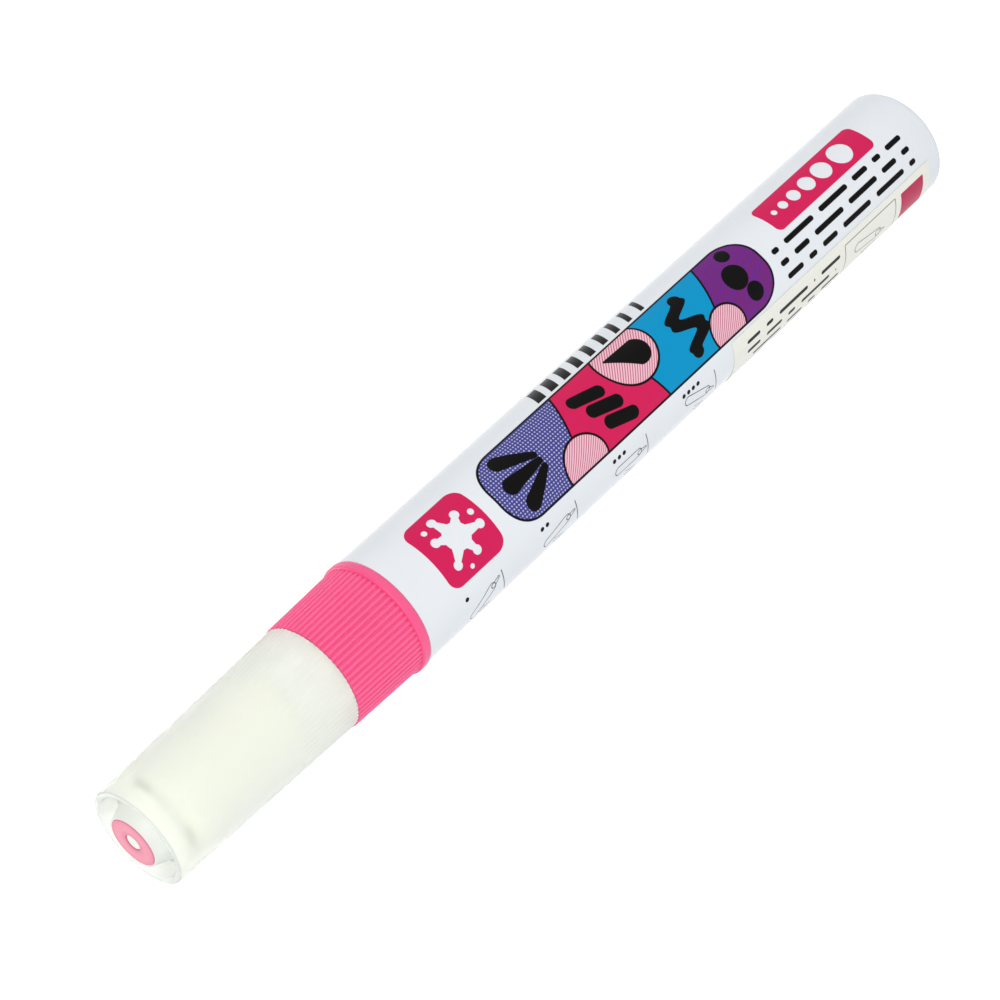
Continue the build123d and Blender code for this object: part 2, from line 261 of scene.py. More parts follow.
# %% Unroll the sheet
def sheet(place, radius):
    """Place on a sheet wrapped round the axis: millimetres round from the front, and along."""
    x, y, z = (place.node("ShaderNodeSeparateXYZ", None, {0: place}, name) for name in "XYZ")
    turn = place.maths("ARCTAN2", x, -y)
    return place.node("ShaderNodeCombineXYZ", None, {"X": turn * radius, "Y": z})


def two_ways(spot):
    """The sheet's two directions as numbers: round the axis, and along it."""
    return [spot.node("ShaderNodeSeparateXYZ", None, {0: spot}, name) for name in "XY"]


print("the sheet round the barrel is", round(2 * pi * barrel_radius, 1), "mm wide")

# %% [markdown]
# ## Outlines as distances
#
# Every printed shape is an outline. It could be a picture or a thin mesh, but here it is the
# distance to the outline's edge, below zero inside it. Such distances are easily joined, cut
# and thinned to lines, and they stay sharp however near the camera comes.

# %% Outlines on the sheet
INK_EDGE = 0.07


def disc(spot, centre, radius):
    return spot.vector("DISTANCE", spot, (*centre, 0), output=1) - radius


def stroke(spot, start, end, half, half_end=None):
    """Straight stroke with round ends. A second half width makes it taper."""
    run = Vector((end[0] - start[0], end[1] - start[1], 0))
    from_start = spot.vector("SUBTRACT", spot, (*start, 0))
    share = from_start.vector("DOT_PRODUCT", from_start, run / run.length_squared, output=1)
    share = share.maths("ADD", share, 0, clamp=True)
    nearest = spot.node("ShaderNodeVectorMath", {"operation": "SCALE"}, {0: run, 3: share})
    distance = spot.vector("DISTANCE", from_start, nearest, output=1)
    return distance - (half if half_end is None else blended(share, half, half_end))


def block(spot, centre, half, corner):
    """Block with round corners, exact outside and near its edge."""
    moved = spot.vector("SUBTRACT", spot, (*centre, 0))
    folded = spot.vector("ABSOLUTE", moved)
    beyond = spot.vector("SUBTRACT", folded, (half[0] - corner, half[1] - corner, 0))
    beyond = spot.vector("MAXIMUM", beyond, (0, 0, 0))
    return spot.vector("LENGTH", beyond, output=1) - corner


def joined(outlines):
    """One outline that covers them all."""
    return reduce(and_, outlines)


def ink(distance):
    """Mask of the inside of an outline, with the slightly soft edge of a print."""
    return distance.maths("MULTIPLY_ADD", distance, -1 / INK_EDGE, 0.5, clamp=True)


print("the print's edge is", INK_EDGE, "mm soft")

# %% [markdown]
# ## The inks
#
# The tube is lacquered white and then printed in a few flat inks. They could be thin meshes on
# the tube, but masks in its shader keep it one clean piece. Printed white is no brighter than
# the lacquer, and printed black still sends back a little light.

# %% Inks
BLACK = paint(6, 5, 6)
GREY = paint(88, 90, 96)
WHITE = paint(225, 229, 233)
MAGENTA = paint(206, 32, 87)
CYAN = paint(8, 144, 194)
PURPLE = paint(100, 38, 131)
PLUM = paint(119, 40, 116)
PINK = paint(236, 192, 204)
ROSE = paint(194, 110, 135)
VIOLET = paint(70, 68, 137)
LILAC = paint(177, 179, 211)
print("white ink sends back", round(WHITE[1], 2), "of the light, black", round(BLACK[1], 4))

# %% [markdown]
# ## The ribbon's colour fields
#
# The largest print is a ribbon of slanted bands with discs over them. Mixed shades are printed
# from two inks: fine lines or fine dots of one over the other. A flat mixed colour would be
# simpler, but close up the lines and dots are what makes it look printed.

# %% Bands and discs of the ribbon
ribbon_centre = (0.7, 58.4)
ribbon_half = (5.0, 25.0)
ribbon_corner = 4.2
ribbon_cuts = ((43.2, 0.45), (57.4, -0.35), (70.2, 0.45))
ribbon_discs = (((3.3, 57.0), 4.3), ((-3.4, 70.6), 3.4), ((-3.0, 43.4), 2.9))
key_line = 0.15
hatch_pitch = 0.44
hatch_fade = (-0.2, 0.6)
dot_pitch = 0.42
dot_fade = (0.3, 0.6)


def hatched(spot, ground, lines):
    """Fine slanted lines printed over a ground colour."""
    rate = 2 * pi / hatch_pitch
    phase = spot.vector("DOT_PRODUCT", spot, (rate, rate, 0), output=1)
    return tint(ramp(spot.maths("SINE", phase), *hatch_fade), ground, lines)


def dotted(spot, ground, dots):
    """Fine dots in a slanted grid printed over a ground colour."""
    rate = pi / dot_pitch
    rising = spot.vector("DOT_PRODUCT", spot, (rate, rate, 0), output=1)
    falling = spot.vector("DOT_PRODUCT", spot, (rate, -rate, 0), output=1)
    product = spot.maths("SINE", rising) * spot.maths("SINE", falling)
    return tint(ramp(product, *dot_fade), ground, dots)


def ribbon_fields(spot):
    """Colour of the ribbon's slanted bands and of the discs on them, and the lines round them."""
    fills = (CYAN, MAGENTA, dotted(spot, VIOLET, LILAC))
    colour = hatched(spot, PURPLE, PLUM)
    cuts = []
    for (height, slant), fill in zip(ribbon_cuts, fills):
        slanted = spot.vector("DOT_PRODUCT", spot, (slant, 1, 0), output=1)
        below = height + slant * ribbon_centre[0] - slanted
        colour = tint(ink(below), colour, fill)
        cuts.append(abs(below))
    discs = joined(disc(spot, centre, radius) for centre, radius in ribbon_discs)
    colour = tint(ink(discs), colour, hatched(spot, PINK, ROSE))
    lines = (joined(cuts) | -discs) & abs(discs)
    return colour, lines - key_line


print("ribbon of", len(ribbon_cuts) + 1, "bands and", len(ribbon_discs), "discs")

# %% [markdown]
# ## Ink marks on the ribbon
#
# Bold marks lie over the bands, as a paint marker makes them: dots, a wave, slashes, a drop and
# rays. All but the wave are discs and tapered strokes. A row of short strokes could stand for
# the wave too, but one formula needs fewer nodes. Multiplying the distance along the sheet by
# the cosine of the slope keeps the line as thick on its slopes as at its bends.

# %% Marks on the ribbon
wave_start, wave_end = -2.5, 3.9
wave_middle, wave_swing = 47.8, 1.3
wave_bends = 3
wave_half = 0.9
dot_marks = (((-1.9, 37.2), 1.25), ((1.0, 38.2), 1.75), ((4.1, 36.9), 1.0))
slash_start = Vector((-2.6, 61.6))
slash_run = Vector((1.0, 3.4))
slash_step = Vector((2.3, 0.9))
slash_count = 3
slash_half = 0.85
drop = ((2.5, 55.7), (4.2, 59.5), 1.9, 0.2)
ray_low, ray_high = 75.6, 80.6
ray_drop = 1.0
ray_spread_low, ray_spread_high = 0.9, 3.1
ray_halves = (0.45, 1.1)


def ink_wave(spot):
    """A wave across the ribbon, with round ends."""
    across, along = two_ways(spot)
    rate = wave_bends * pi / (wave_end - wave_start)
    phase = (across - wave_start) * rate
    slope = spot.maths("SINE", phase) * (wave_swing * rate)
    slope_cosine = spot.maths("INVERSE_SQRT", slope * slope + 1)
    off = along - spot.maths("COSINE", phase) * wave_swing - wave_middle
    line = abs(off) * slope_cosine - wave_half
    line = line | (wave_start - across) | (across - wave_end)
    start = disc(spot, (wave_start, wave_middle + wave_swing), wave_half)
    end = disc(spot, (wave_end, wave_middle - wave_swing), wave_half)
    return joined([line, start, end])


def ribbon_marks(spot):
    """All the marks as one outline."""
    marks = [ink_wave(spot), stroke(spot, *drop)]
    marks += [disc(spot, centre, radius) for centre, radius in dot_marks]
    for number in range(slash_count):
        start = slash_start + slash_step * number
        marks.append(stroke(spot, start, start + slash_run, slash_half))
    for side in (-1, 0, 1):
        low = (ribbon_centre[0] + ray_spread_low * side, ray_low)
        high = (ribbon_centre[0] + ray_spread_high * side, ray_high - ray_drop * abs(side))
        marks.append(stroke(spot, low, high, *ray_halves))
    return joined(marks)


print("marks:", len(dot_marks), "dots,", slash_count, "slashes and a wave of", wave_bends, "bends")

# %% [markdown]
# ## Rows of dashes
#
# Rows of short black bars are printed near the tail and on the label. Each bar could be a stroke
# of its own, but there are dozens of them. So one formula rounds the place to its row, and gaps
# at two unlike steps along the row part it into bars of uneven length.

# %% Dashes in rows
dash_centre = (-1.75, 18.4)
dash_room = (2.5, 14.1)
dash_pitch = 1.8
dash_half = 0.36
dash_gap = 1.3
gap_steps = ((7.1, 0.37), (11.3, 0.61))


def dash_rows(spot, centre, room, pitch, half):
    """Rows of dashes with round ends in a room of the sheet. Each row shifts the gaps."""
    across, along = two_ways(spot)
    across, along = across - centre[0], along - centre[1]
    row = spot.maths("ROUND", across / pitch)
    off = across - row * pitch
    to_gap = room[1] - abs(along)
    for step, shift in gap_steps:
        beat = along / step + row * shift
        to_gap = to_gap & abs(beat - spot.maths("ROUND", beat)) * step
    past_end = (dash_gap / 2 + half - to_gap) | 0.0
    dashes = spot.maths("SQRT", past_end * past_end + off * off) - half
    return dashes | (abs(across) - room[0])


print("dash rows", dash_pitch, "mm apart, in a room of", 2 * dash_room[0], "by", 2 * dash_room[1], "mm")

# %% [markdown]
# ## The comb and the band of dots
#
# A comb of slanted bars runs from fine to broad, and the dots on a magenta band grow too, as a
# chart of line widths does. Each bar could be a stroke, but they repeat evenly, so they are made
# like the dashes, by rounding to the nearest bar. The six dots are few enough to be set singly.

# %% Comb and band
comb_centre = (7.9, 58.4)
comb_half = (1.65, 10.4)
comb_pitch = 2.35
comb_slant = 0.35
comb_bar_half = 0.55
comb_bar_growth = 0.4
band_centre = (3.7, 18.6)
band_half = (2.45, 10.1)
band_corner = 0.9
growing_dots = ((-8.2, 0.4), (-6.4, 0.65), (-4.2, 0.9), (-1.5, 1.15), (1.6, 1.4), (5.5, 1.7))


def comb(spot):
    """Slanted bars that grow from fine to broad along a strip."""
    across, along = two_ways(spot)
    across = across - comb_centre[0]
    run = along - comb_centre[1] + across * comb_slant
    step = run / comb_pitch
    off = abs(step - spot.maths("ROUND", step)) * comb_pitch
    growth = comb_bar_growth / (2 * comb_half[1])
    bars = off - (run * growth + comb_bar_half)
    return bars | (abs(across) - comb_half[0]) | (abs(run) - comb_half[1])


def band_dots(spot):
    """Dots that grow towards the barrel's tail."""
    x, y = band_centre
    return joined(disc(spot, (x, y - along), radius) for along, radius in growing_dots)


print("comb of", 1 + 2 * int(comb_half[1] / comb_pitch), "bars, band of", len(growing_dots), "dots")

# %% [markdown]
# ## The badge's splash
#
# A magenta badge near the collar carries a white splash of paint. Noise could make a blot, but
# never twice the one that is wanted. So the blot is a disc with tapering arms that end in drops,
# each set by its turn and its length, and a few loose drops lie between the arms.

# %% Badge with a splash
badge_centre = (0.7, 90.1)
badge_half = (4.75, 4.6)
badge_corner = 1.6
blot_radius = 1.75
arm_halves = (1.1, 0.28)
arm_end_radius = 0.58
splash_arms = ((15, 3.2), (68, 2.7), (138, 3.4), (198, 2.8), (258, 3.3), (318, 2.7))
loose_drops = ((42, 3.7, 0.36), (168, 3.8, 0.3), (286, 3.6, 0.4))


def from_badge(turn, distance):
    """Spot at this turn, in degrees, and this distance from the badge's centre."""
    x, y = badge_centre
    return x + distance * cos(radians(turn)), y + distance * sin(radians(turn))


def badge_splash(spot):
    """A blot of paint with arms that run out into drops, and a few loose drops."""
    shapes = [disc(spot, badge_centre, blot_radius)]
    for turn, length in splash_arms:
        end = from_badge(turn, length)
        shapes.append(stroke(spot, badge_centre, end, *arm_halves))
        shapes.append(disc(spot, end, arm_end_radius))
    for turn, distance, radius in loose_drops:
        shapes.append(disc(spot, from_badge(turn, distance), radius))
    return joined(shapes)


print("splash of", len(splash_arms), "arms and", len(loose_drops), "loose drops")

# %% [markdown]
# ## Small line pictures
#
# A row of fine line pictures runs along the barrel, each a pen over a line. Drawing every one
# would take four times the nodes. So the place is folded to the nearest picture, whose number
# then tilts the pen a little further and sets how many counting dots show.

# %% Small pictures beside the ribbon
picture_across = -7.9
picture_high = 90.2
picture_pitch = 13.2
picture_count = 4
picture_line = 0.07
tilt_first, tilt_step = -0.3, 0.28
pen_body = ((-0.6, 2.6), (0.3, -0.9), 0.62)
pen_tip = ((0.3, -1.2), (0.6, -2.3), 0.34, 0.12)
bare_lines = (((-1.7, -3.0), (1.8, -2.6)), ((-1.9, -0.6), (-1.3, 1.2)), ((-2.3, -0.2), (-1.8, 1.4)))
count_across, count_high = 2.0, 3.2
count_pitch = 0.9
count_radius = 0.3


def small_pictures(spot):
    """Masks of the pictures' lines and of their counting dots."""
    across, along = two_ways(spot)
    number = spot.maths("ROUND", (picture_high - along) / picture_pitch)
    number = (number | 0) & (picture_count - 1)
    place = {"X": across - picture_across, "Y": along - picture_high + number * picture_pitch}
    near = spot.node("ShaderNodeCombineXYZ", None, place)
    tilt = {"Vector": near, "Angle": number * tilt_step + tilt_first}
    tilted = spot.node("ShaderNodeVectorRotate", {"rotation_type": "Z_AXIS"}, tilt)
    pen = abs(stroke(tilted, *pen_body)) & abs(stroke(tilted, *pen_tip))
    lines = [stroke(near, start, end, picture_line) for start, end in bare_lines]
    counts = []
    for count in range(picture_count):
        dot = disc(near, (count_across, count_high - count_pitch * count), count_radius)
        counts.append(dot | (count - 0.5 - number))
    return ink(joined([pen - picture_line, *lines])), ink(joined(counts))


print(picture_count, "small pictures,", picture_pitch, "mm apart")

# %% [markdown]
# ## The barrel's finish
#
# Lacquer on drawn aluminium is smooth and glossy, with a faint orange peel and fine rubs along
# the tube from use. The inks lie on it as a thin film that is a little duller and stands a
# little proud. Peel and film could be modelled, but they are far thinner than a hair, so a bump
# gives them. The outlines are laid over the white in the order in which they are printed.

# %% Lacquer and print on the barrel
lacquer_rough = 0.2
rub_rough = 0.12
rub_fade = (0.55, 0.8)
film_rough = 0.08


def barrel_lacquer(place):
    spot = sheet(place, barrel_radius)
    ribbon = block(spot, ribbon_centre, ribbon_half, ribbon_corner)
    badge = block(spot, badge_centre, badge_half, badge_corner)
    band = block(spot, band_centre, band_half, band_corner)
    dashes = dash_rows(spot, dash_centre, dash_room, dash_pitch, dash_half)
    fields, cuts = ribbon_fields(spot)
    marks = joined([ribbon_marks(spot), cuts, abs(ribbon) - key_line])
    pictures, counts = small_pictures(spot)
    in_ribbon = ink(ribbon - key_line)
    colour = tint(noise(place, size=6.0), paint(222, 226, 231), paint(228, 232, 235))
    colour = tint(in_ribbon, colour, fields)
    colour = tint(in_ribbon & ink(marks), colour, BLACK)
    colour = tint(ink(joined([badge, band])), colour, MAGENTA)
    colour = tint(ink(joined([badge_splash(spot), band_dots(spot)])), colour, WHITE)
    colour = tint(ink(dashes & comb(spot)) | counts, colour, BLACK)
    colour = tint(pictures, colour, GREY)
    film = ink(joined([ribbon, badge, band]))
    peel = noise(place, size=1.1, detail=1.0)
    rubs = ramp(noise(stretched(place, along=0.06), size=0.5, detail=3.0), *rub_fade)
    return {
        "Base Color": colour,
        "Roughness": lacquer_rough + rubs * rub_rough + film * film_rough,
        "Normal": bumped((peel + film) / 2, depth=0.006),
        "Specular IOR Level": 0.06,
    }


dress("barrel_lacquer", barrel_lacquer)

# %% [markdown]
# ## The film label
#
# A cream sticker wraps part of the tail half. It could share the barrel's sheet, but it lies a
# film's thickness further out, so it has a sheet of its own, printed the same way: a boxed line
# picture, a colour swatch and rows of fine bars. Faint fibres and a duller surface set it off
# from the white tube.

# %% The label's finish
film_height = 0.08
label_dashes = ((-12.7, 32.0), (6.8, 10.2), 1.5, 0.27)
label_box = ((-8.6, 15.9), (2.7, 5.4), 0.15)
label_pen = ((-8.0, 18.6), (-8.7, 14.4), 0.7)
label_nib = ((-8.7, 14.4), (-8.95, 12.9), 0.4, 0.1)
label_rule = ((-10.2, 17.4), (-10.2, 14.2), 0.09)
label_swatch = ((-8.2, 6.9), (2.2, 2.4), 0.2)
label_line = 0.06


def label_film(place):
    spot = sheet(place, barrel_radius + film_height)
    drawn = [block(spot, *label_box), stroke(spot, *label_pen), stroke(spot, *label_nib)]
    lines = joined([*(abs(outline) - label_line for outline in drawn), stroke(spot, *label_rule)])
    fibres = noise(stretched(place, along=0.3), size=0.35, detail=3.0)
    colour = tint(fibres, paint(228, 228, 218), paint(234, 234, 226))
    colour = tint(ink(dash_rows(spot, *label_dashes)), colour, BLACK)
    colour = tint(ink(lines), colour, GREY)
    colour = tint(ink(block(spot, *label_swatch)), colour, paint(181, 32, 78))
    return {
        "Base Color": colour,
        "Roughness": blended(fibres, 0.38, 0.5),
        "Normal": bumped(fibres, depth=0.004),
        "Specular IOR Level": 0.15,
    }


dress("label_film", label_film)

# %% [markdown]
# ## The pink collar
#
# The collar is moulded in pink plastic. Its ribs could be a bump, but they are real geometry, so
# the finish adds only a fine grain that moulding leaves, a painted shade of deeper pink on the
# flange and in the grooves between the ribs, where light bounces, and a soft glow, because the
# plastic lets a little light in.

# %% The collar's finish
flange_radius, _, grip_end = reach("front_collar")
flange_fade = (barrel_mouth + 1.5, barrel_mouth + 1.2)
crest_inset_low, crest_inset_high = 0.25, 0.52
groove_fade = (0.02, 0.22)
painted_shade_share = 0.45


def along_axis(vector):
    """Height of a place above the tail, or the upward share of a direction."""
    return vector.node("ShaderNodeSeparateXYZ", None, {0: vector}, "Z")


def off_axis(place):
    """The way from the axis to the place, square to the axis."""
    return place.vector("MULTIPLY", place, (1, 1, 0))


def collar_pink(place):
    height = along_axis(place)
    share = (height - barrel_mouth) / (grip_end - barrel_mouth)
    crest = blended(share, flange_radius - crest_inset_low, flange_radius - crest_inset_high)
    groove = ramp(crest - place.vector("LENGTH", off_axis(place), output=1), *groove_fade)
    # Painted shade: a deeper pink in the grooves between the ribs and on the flange.
    painted_shade = (groove | ramp(height, *flange_fade)) * painted_shade_share
    grain = noise(place, size=0.25, detail=3.0)
    colour = tint(noise(place, size=4.0), paint(241, 89, 142), paint(244, 98, 150))
    return {
        "Base Color": tint(painted_shade, colour, paint(231, 68, 122)),
        "Roughness": blended(grain, 0.36, 0.5),
        "Normal": bumped(grain, depth=0.006),
        "Subsurface Weight": 0.25,
        "Subsurface Radius": (0.8 * MM, 0.35 * MM, 0.45 * MM),
        "Subsurface Scale": 1.0,
        "Specular IOR Level": 0.4,
    }


dress("collar_pink", collar_pink)

# %% [markdown]
# ## Soft light on the cap's ribs
#
# The cap has ribs like the collar's, but they hardly show, because light that enters the milky
# wall spreads before it leaves. Real scattering in so thin a wall is slow and noisy. So the
# shading normal leans from the ribs' sides towards the plain round of the cap instead.

# %% A softer normal for the cap
rib_softness = 0.72
outward_fade = (0.2, 0.6)


def facing_out(place):
    """The surface's normal, the way straight out from the axis, and how far the two agree."""
    facing = place.node("ShaderNodeNewGeometry", output="Normal")
    outward = place.vector("NORMALIZE", off_axis(place))
    return facing, outward, place.vector("DOT_PRODUCT", facing, outward, output=1)


def softened(facing, outward, agreement):
    """Normal that leans outward, on faces that look outward already."""
    sockets = {0: ramp(agreement, *outward_fade) * rib_softness, 4: facing, 5: outward}
    return facing.node("ShaderNodeMix", {"data_type": "VECTOR"}, sockets, 1)


print("the cap's normal leans by", rib_softness, "of the way to the round")

# %% [markdown]
# ## The milky cap
#
# The cap is natural polypropylene: it lets light through and blurs what is behind it. Plain
# glass would be too clear and plain white too dead, so about half of the light passes through
# very rough walls and the rest comes back from them. The wall is nearly white, a shade greener
# past the ends of the liner, which shows through it elsewhere, with pink light from the collar
# painted on where the two meet. Its inner faces are plain white, so that little light is lost
# inside. The faces that look up in the open end, its rim and ledge, carry painted shade: a soft
# grey that darkens deeper down.

# %% The cap's finish
_, cap_mouth, cap_end = reach("cap_shell")
ledge_depth = 3.0
mouth_fade = (cap_mouth + 11, cap_mouth + 5)
end_fade = (cap_end - 6, cap_end - ledge_depth)
open_end_fade = (cap_end - ledge_depth - 0.2, cap_end - ledge_depth + 0.3)
open_end_shade_fade = (cap_end - 2, cap_end - 1)
inward_fade = (0.2, -0.2)
upward_fade = (0.4, 0.8)
collar_light_fade = (cap_mouth + 4, cap_mouth)
collar_light_share = 0.05
speck_fade = (0.78, 0.82)
speck_share = 0.2


def cap_translucent(place):
    height = along_axis(place)
    in_open_end = ramp(height, *open_end_fade)
    facing, outward, agreement = facing_out(place)
    flow = noise(stretched(place, along=0.15), size=1.6)
    specks = ramp(noise(place, size=0.5, detail=1.0), *speck_fade)
    past_liner = ramp(height, *mouth_fade) | ramp(height, *end_fade)
    colour = tint(flow, paint(249, 251, 245), paint(252, 253, 249))
    colour = tint(past_liner, colour, paint(253, 255, 247))
    # Painted pink light from the collar, near the mouth.
    colour = tint(ramp(height, *collar_light_fade) * collar_light_share, colour, paint(255, 190, 205))
    colour = tint(specks * speck_share, colour, paint(205, 205, 190))
    inner = tint(in_open_end, paint(255, 255, 255), paint(250, 251, 249))
    colour = tint(ramp(agreement, *inward_fade), colour, inner)
    # Painted shade of the open end: a grey on the faces that look up there, darker deeper down.
    open_end_shade = tint(ramp(height, *open_end_shade_fade), paint(215, 218, 216), paint(230, 233, 229))
    return {
        "Base Color": tint(ramp(along_axis(facing), *upward_fade) * in_open_end, colour, open_end_shade),
        "Roughness": blended(flow, 0.8, 0.9),
        "Normal": bumped(flow, 0.004, softened(facing, outward, agreement)),
        "Transmission Weight": 0.53,
        "IOR": 1.32,
        "Coat Weight": 0.4,
        "Coat Roughness": 0.25,
    }


dress("cap_translucent", cap_translucent)

# %% [markdown]
# ## The liner and the colour ring
#
# A denser liner inside the cap seals the nib. Through the wall it shows as a creamy green. That
# could be painted on the cap, but then the cap would look the same with nothing in it. So the
# liner itself has the colour, and its end, which sticks out into the cap's open end, is greyer
# with painted shade. The ring on that end shows the paint's colour, with painted shade towards
# its edges.

# %% The liner's and the ring's finish
ring_radius, _, ring_face = reach("cap_colour_ring")
ring_middle = 0.68 * ring_radius
ring_edge_fade = (0.2, 1.0)
liner_end_shade_fade = (ring_face - 3.4, ring_face - 2.4)


def inner_cap_white(place):
    grain = noise(place, size=0.4, detail=3.0)
    clouds = noise(place, size=2.5)
    liner_cream = tint(clouds, paint(247, 252, 206), paint(251, 254, 214))
    liner_end_shade = tint(clouds, paint(223, 226, 219), paint(228, 231, 225))
    return {
        # Painted shade: the liner's end, which sticks out into the cap's open end, is greyer.
        "Base Color": tint(ramp(along_axis(place), *liner_end_shade_fade), liner_cream, liner_end_shade),
        "Roughness": blended(grain, 0.36, 0.48),
        "Normal": bumped(grain, depth=0.004),
    }


def ring_pink(place):
    out = place.vector("LENGTH", off_axis(place), output=1)
    # Painted shade: a deeper pink towards the ring's edges.
    ring_edge_shade = ramp(abs(out - ring_middle), *ring_edge_fade)
    grain = noise(place, size=0.3)
    return {
        "Base Color": tint(ring_edge_shade, paint(227, 135, 157), paint(220, 119, 144)),
        "Roughness": blended(grain, 0.4, 0.52),
        "Normal": bumped(grain, depth=0.004),
        "Specular IOR Level": 0.4,
    }


dress("inner_cap_white", inner_cap_white)
dress("ring_pink", ring_pink)

# %% [markdown]
# ## The nose and the nib
#
# With the cap off, the white nose and the nib show. The nib is a rod of fibres pressed together.
# Hair could stand for the fibres, but they are far too fine to tell apart, so noise that is
# stretched along the rod gives the grain, and finer noise opens small pores in it.

# %% The nose's and the nib's finish
pore_fade = (0.58, 0.7)
pore_shade = 0.35
pore_depth = 0.5


def nose_white(place):
    grain = noise(place, size=0.4, detail=3.0)
    return {
        "Base Color": tint(noise(place, size=3.0), paint(229, 231, 228), paint(235, 237, 234)),
        "Roughness": blended(grain, 0.34, 0.46),
        "Normal": bumped(grain, depth=0.005),
        "Subsurface Weight": 0.2,
        "Subsurface Radius": (0.7 * MM, 0.7 * MM, 0.6 * MM),
        "Subsurface Scale": 1.0,
    }


def nib_fibre(place):
    strands = noise(stretched(place, along=0.06), size=0.16, detail=3.0, rough=0.6)
    pores = ramp(noise(place, size=0.12), *pore_fade)
    colour = tint(strands, paint(226, 221, 212), paint(246, 243, 236))
    return {
        "Base Color": tint(pores * pore_shade, colour, paint(190, 180, 170)),
        "Roughness": blended(strands, 0.8, 0.95),
        "Normal": bumped(strands - pores * pore_depth, depth=0.03),
        "Sheen Weight": 0.2,
        "Specular IOR Level": 0.2,
    }


dress("nose_white", nose_white)
dress("nib_fibre", nib_fibre)

# %% [markdown]
# ## The valve's plastic and rubber
#
# These parts are hidden in the barrel and show only when the marker is taken apart. One grey
# would do while it is closed, but on the bench the pieces have to be told apart. So they get
# honest finishes too: unpigmented plastic that lets a little light in, and dull rubber with a
# pale bloom.


# %% Plastic and rubber of the valve
def valve_natural(place):
    clouds = noise(place, size=1.5)
    return {
        "Base Color": tint(clouds, paint(226, 226, 214), paint(240, 240, 230)),
        "Roughness": blended(clouds, 0.35, 0.5),
        "Normal": bumped(noise(place, size=0.3), depth=0.004),
        "Subsurface Weight": 0.3,
        "Subsurface Radius": (0.9 * MM, 0.9 * MM, 0.7 * MM),
        "Subsurface Scale": 1.0,
    }


def valve_rubber(place):
    bloom = noise(place, size=0.8, detail=3.0)
    return {
        "Base Color": tint(bloom, paint(44, 44, 46), paint(66, 66, 68)),
        "Roughness": blended(bloom, 0.7, 0.9),
        "Normal": bumped(noise(place, size=0.15), depth=0.005),
    }


dress("valve_natural", valve_natural)
dress("valve_rubber", valve_rubber)

# %% [markdown]
# ## Wire and ball
#
# The spring is drawn wire and the mixing ball is polished steel. They could share one metal, but
# their gloss tells them apart: fine drawing marks make the wire's uneven, and a light haze lies
# on the ball, which has been shaken in paint. So each has a roughness of its own.


# %% Steel of the spring and the ball
def spring_steel(place):
    drawn = noise(stretched(place, along=4.0), size=0.3, detail=3.0)
    return {
        "Base Color": tint(drawn, paint(176, 178, 182), paint(206, 208, 210)),
        "Roughness": blended(drawn, 0.2, 0.38),
        "Metallic": 1.0,
    }


def ball_steel(place):
    haze = noise(place, size=1.2, detail=4.0)
    return {
        "Base Color": tint(haze, paint(188, 190, 194), paint(214, 215, 218)),
        "Roughness": blended(haze, 0.12, 0.24),
        "Metallic": 1.0,
        "Normal": bumped(noise(place, size=0.2), depth=0.001),
    }


wire_finish = dress("spring_steel", spring_steel)
dress("ball_steel", ball_steel)

# %% [markdown]
# ## The valve spring
#
# The spring shortens when the nib is pressed, which a rigid part can't do. So a coil of the
# same size stands for the CAD one; here it keeps its full length. A curve with a bevel would be
# quicker, but flattening works on a mesh, so rings of points are laid along the helix in a loop
# and joined by faces.

# %% Follow the spring's wire
spring_turns = 8
wire_radius = 0.25
spring_outside, spring_low, spring_high = reach("valve_spring")
spring_radius = spring_outside - wire_radius
spring_rise = (spring_high - spring_low - 2 * wire_radius) / spring_turns


def wind(turns):
    """Centre of the wire, and the directions across it, after a number of turns."""
    angle = 2 * pi * turns
    outward = Vector((cos(angle), sin(angle), 0))
    centre = outward * spring_radius
    centre.z = spring_low + wire_radius + spring_rise * turns
    forward = Vector((-sin(angle), cos(angle), spring_rise / (2 * pi * spring_radius)))
    return centre, outward, forward.cross(outward).normalized()


print("spring rises", round(spring_rise, 2), "mm a turn")

# %% Wind the coil
rings_a_turn = 36
ring_sides = 12


def add_object(name, data):
    """Puts a new object into the scene."""
    made = bpy.data.objects.new(name, data)
    bpy.context.scene.collection.objects.link(made)
    return made


def coil_mesh():
    points, faces = [], []
    ring_count = spring_turns * rings_a_turn + 1
    for ring in range(ring_count):
        centre, outward, upward = wind(ring / rings_a_turn)
        for side in range(ring_sides):
            angle = 2 * pi * side / ring_sides
            offset = (outward * cos(angle) + upward * sin(angle)) * wire_radius
            points.append((centre + offset) * MM)
    for ring in range(ring_count - 1):
        near = ring * ring_sides
        far = near + ring_sides
        for side in range(ring_sides):
            beside = (side + 1) % ring_sides
            faces.append((near + side, near + beside, far + beside, far + side))
    faces.append(tuple(reversed(range(ring_sides))))
    faces.append(tuple(range((ring_count - 1) * ring_sides, ring_count * ring_sides)))
    mesh = bpy.data.meshes.new("valve_spring_coil")
    mesh.from_pydata(points, [], faces)
    mesh.shade_smooth()
    return mesh


coil = add_object("valve_spring_coil", coil_mesh())
coil.data.materials.append(wire_finish)
print("coil of", len(coil.data.polygons), "faces")

# %% Put the coil on the body, in the CAD spring's place
press = next(j for j in frame["joints"] if j["name"] == "nib_press")
press_travel = max(abs(value) for value in press["range_m"])
spring_keep = 1 - press_travel / ((spring_high - spring_low) * MM)
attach(coil, "marker_body")
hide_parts("valve_spring")
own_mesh(coil)
print("spring keeps", round(spring_keep, 3), "of its length when the nib is in")

# %% [markdown]
# ## Camera
#
# The camera looks at the standing marker from its front, about thirty degrees above level, and
# is rolled so that the marker lies across the picture from its cap to its tail. A Track To
# constraint could aim it, but that would settle the roll by itself. So its three directions are
# worked out from the tilt and the roll.

